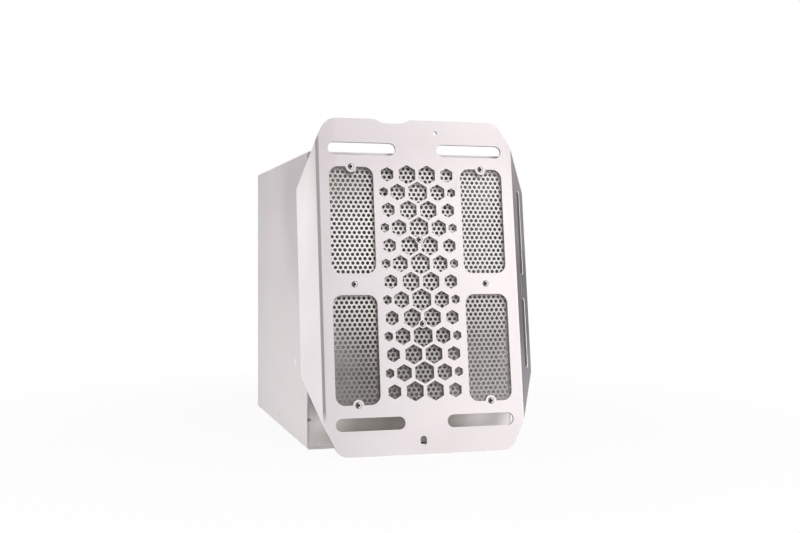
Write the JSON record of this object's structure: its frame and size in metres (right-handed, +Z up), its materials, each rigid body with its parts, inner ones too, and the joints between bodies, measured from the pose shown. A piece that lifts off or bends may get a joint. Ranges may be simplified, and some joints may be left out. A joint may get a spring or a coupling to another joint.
{
  "type": "motorcycle radiator guard",
  "caption": "Folded sheet guard for a motorcycle radiator, with a hexagon lattice and windows over a perforated sheet, leaning on its open-backed sheet housing.",
  "frame": {"origin": "the middle of the housing's underside, on the floor that the part stands on", "axes": "+Z up, -Y towards the guard's front, +X to the right for who looks at the front"},
  "size_m": [0.239, 0.3806, 0.3291],
  "materials": {
    "guard_sheet": "satin, nearly white",
    "mesh_sheet": "satin",
    "spacer": "matt",
    "fastener": "bright",
    "housing_sheet": "satin, nearly white",
    "weld": "dull, heat-tinted"
  },
  "bodies": {
    "root": {"guard_plate": "guard_sheet", "perforated_sheet": "mesh_sheet", "spacers": "spacer", "screws": "fastener", "nuts": "fastener", "housing_wrap": "housing_sheet", "housing_front": "housing_sheet", "tack_welds": "weld"}
  },
  "joints": []
}
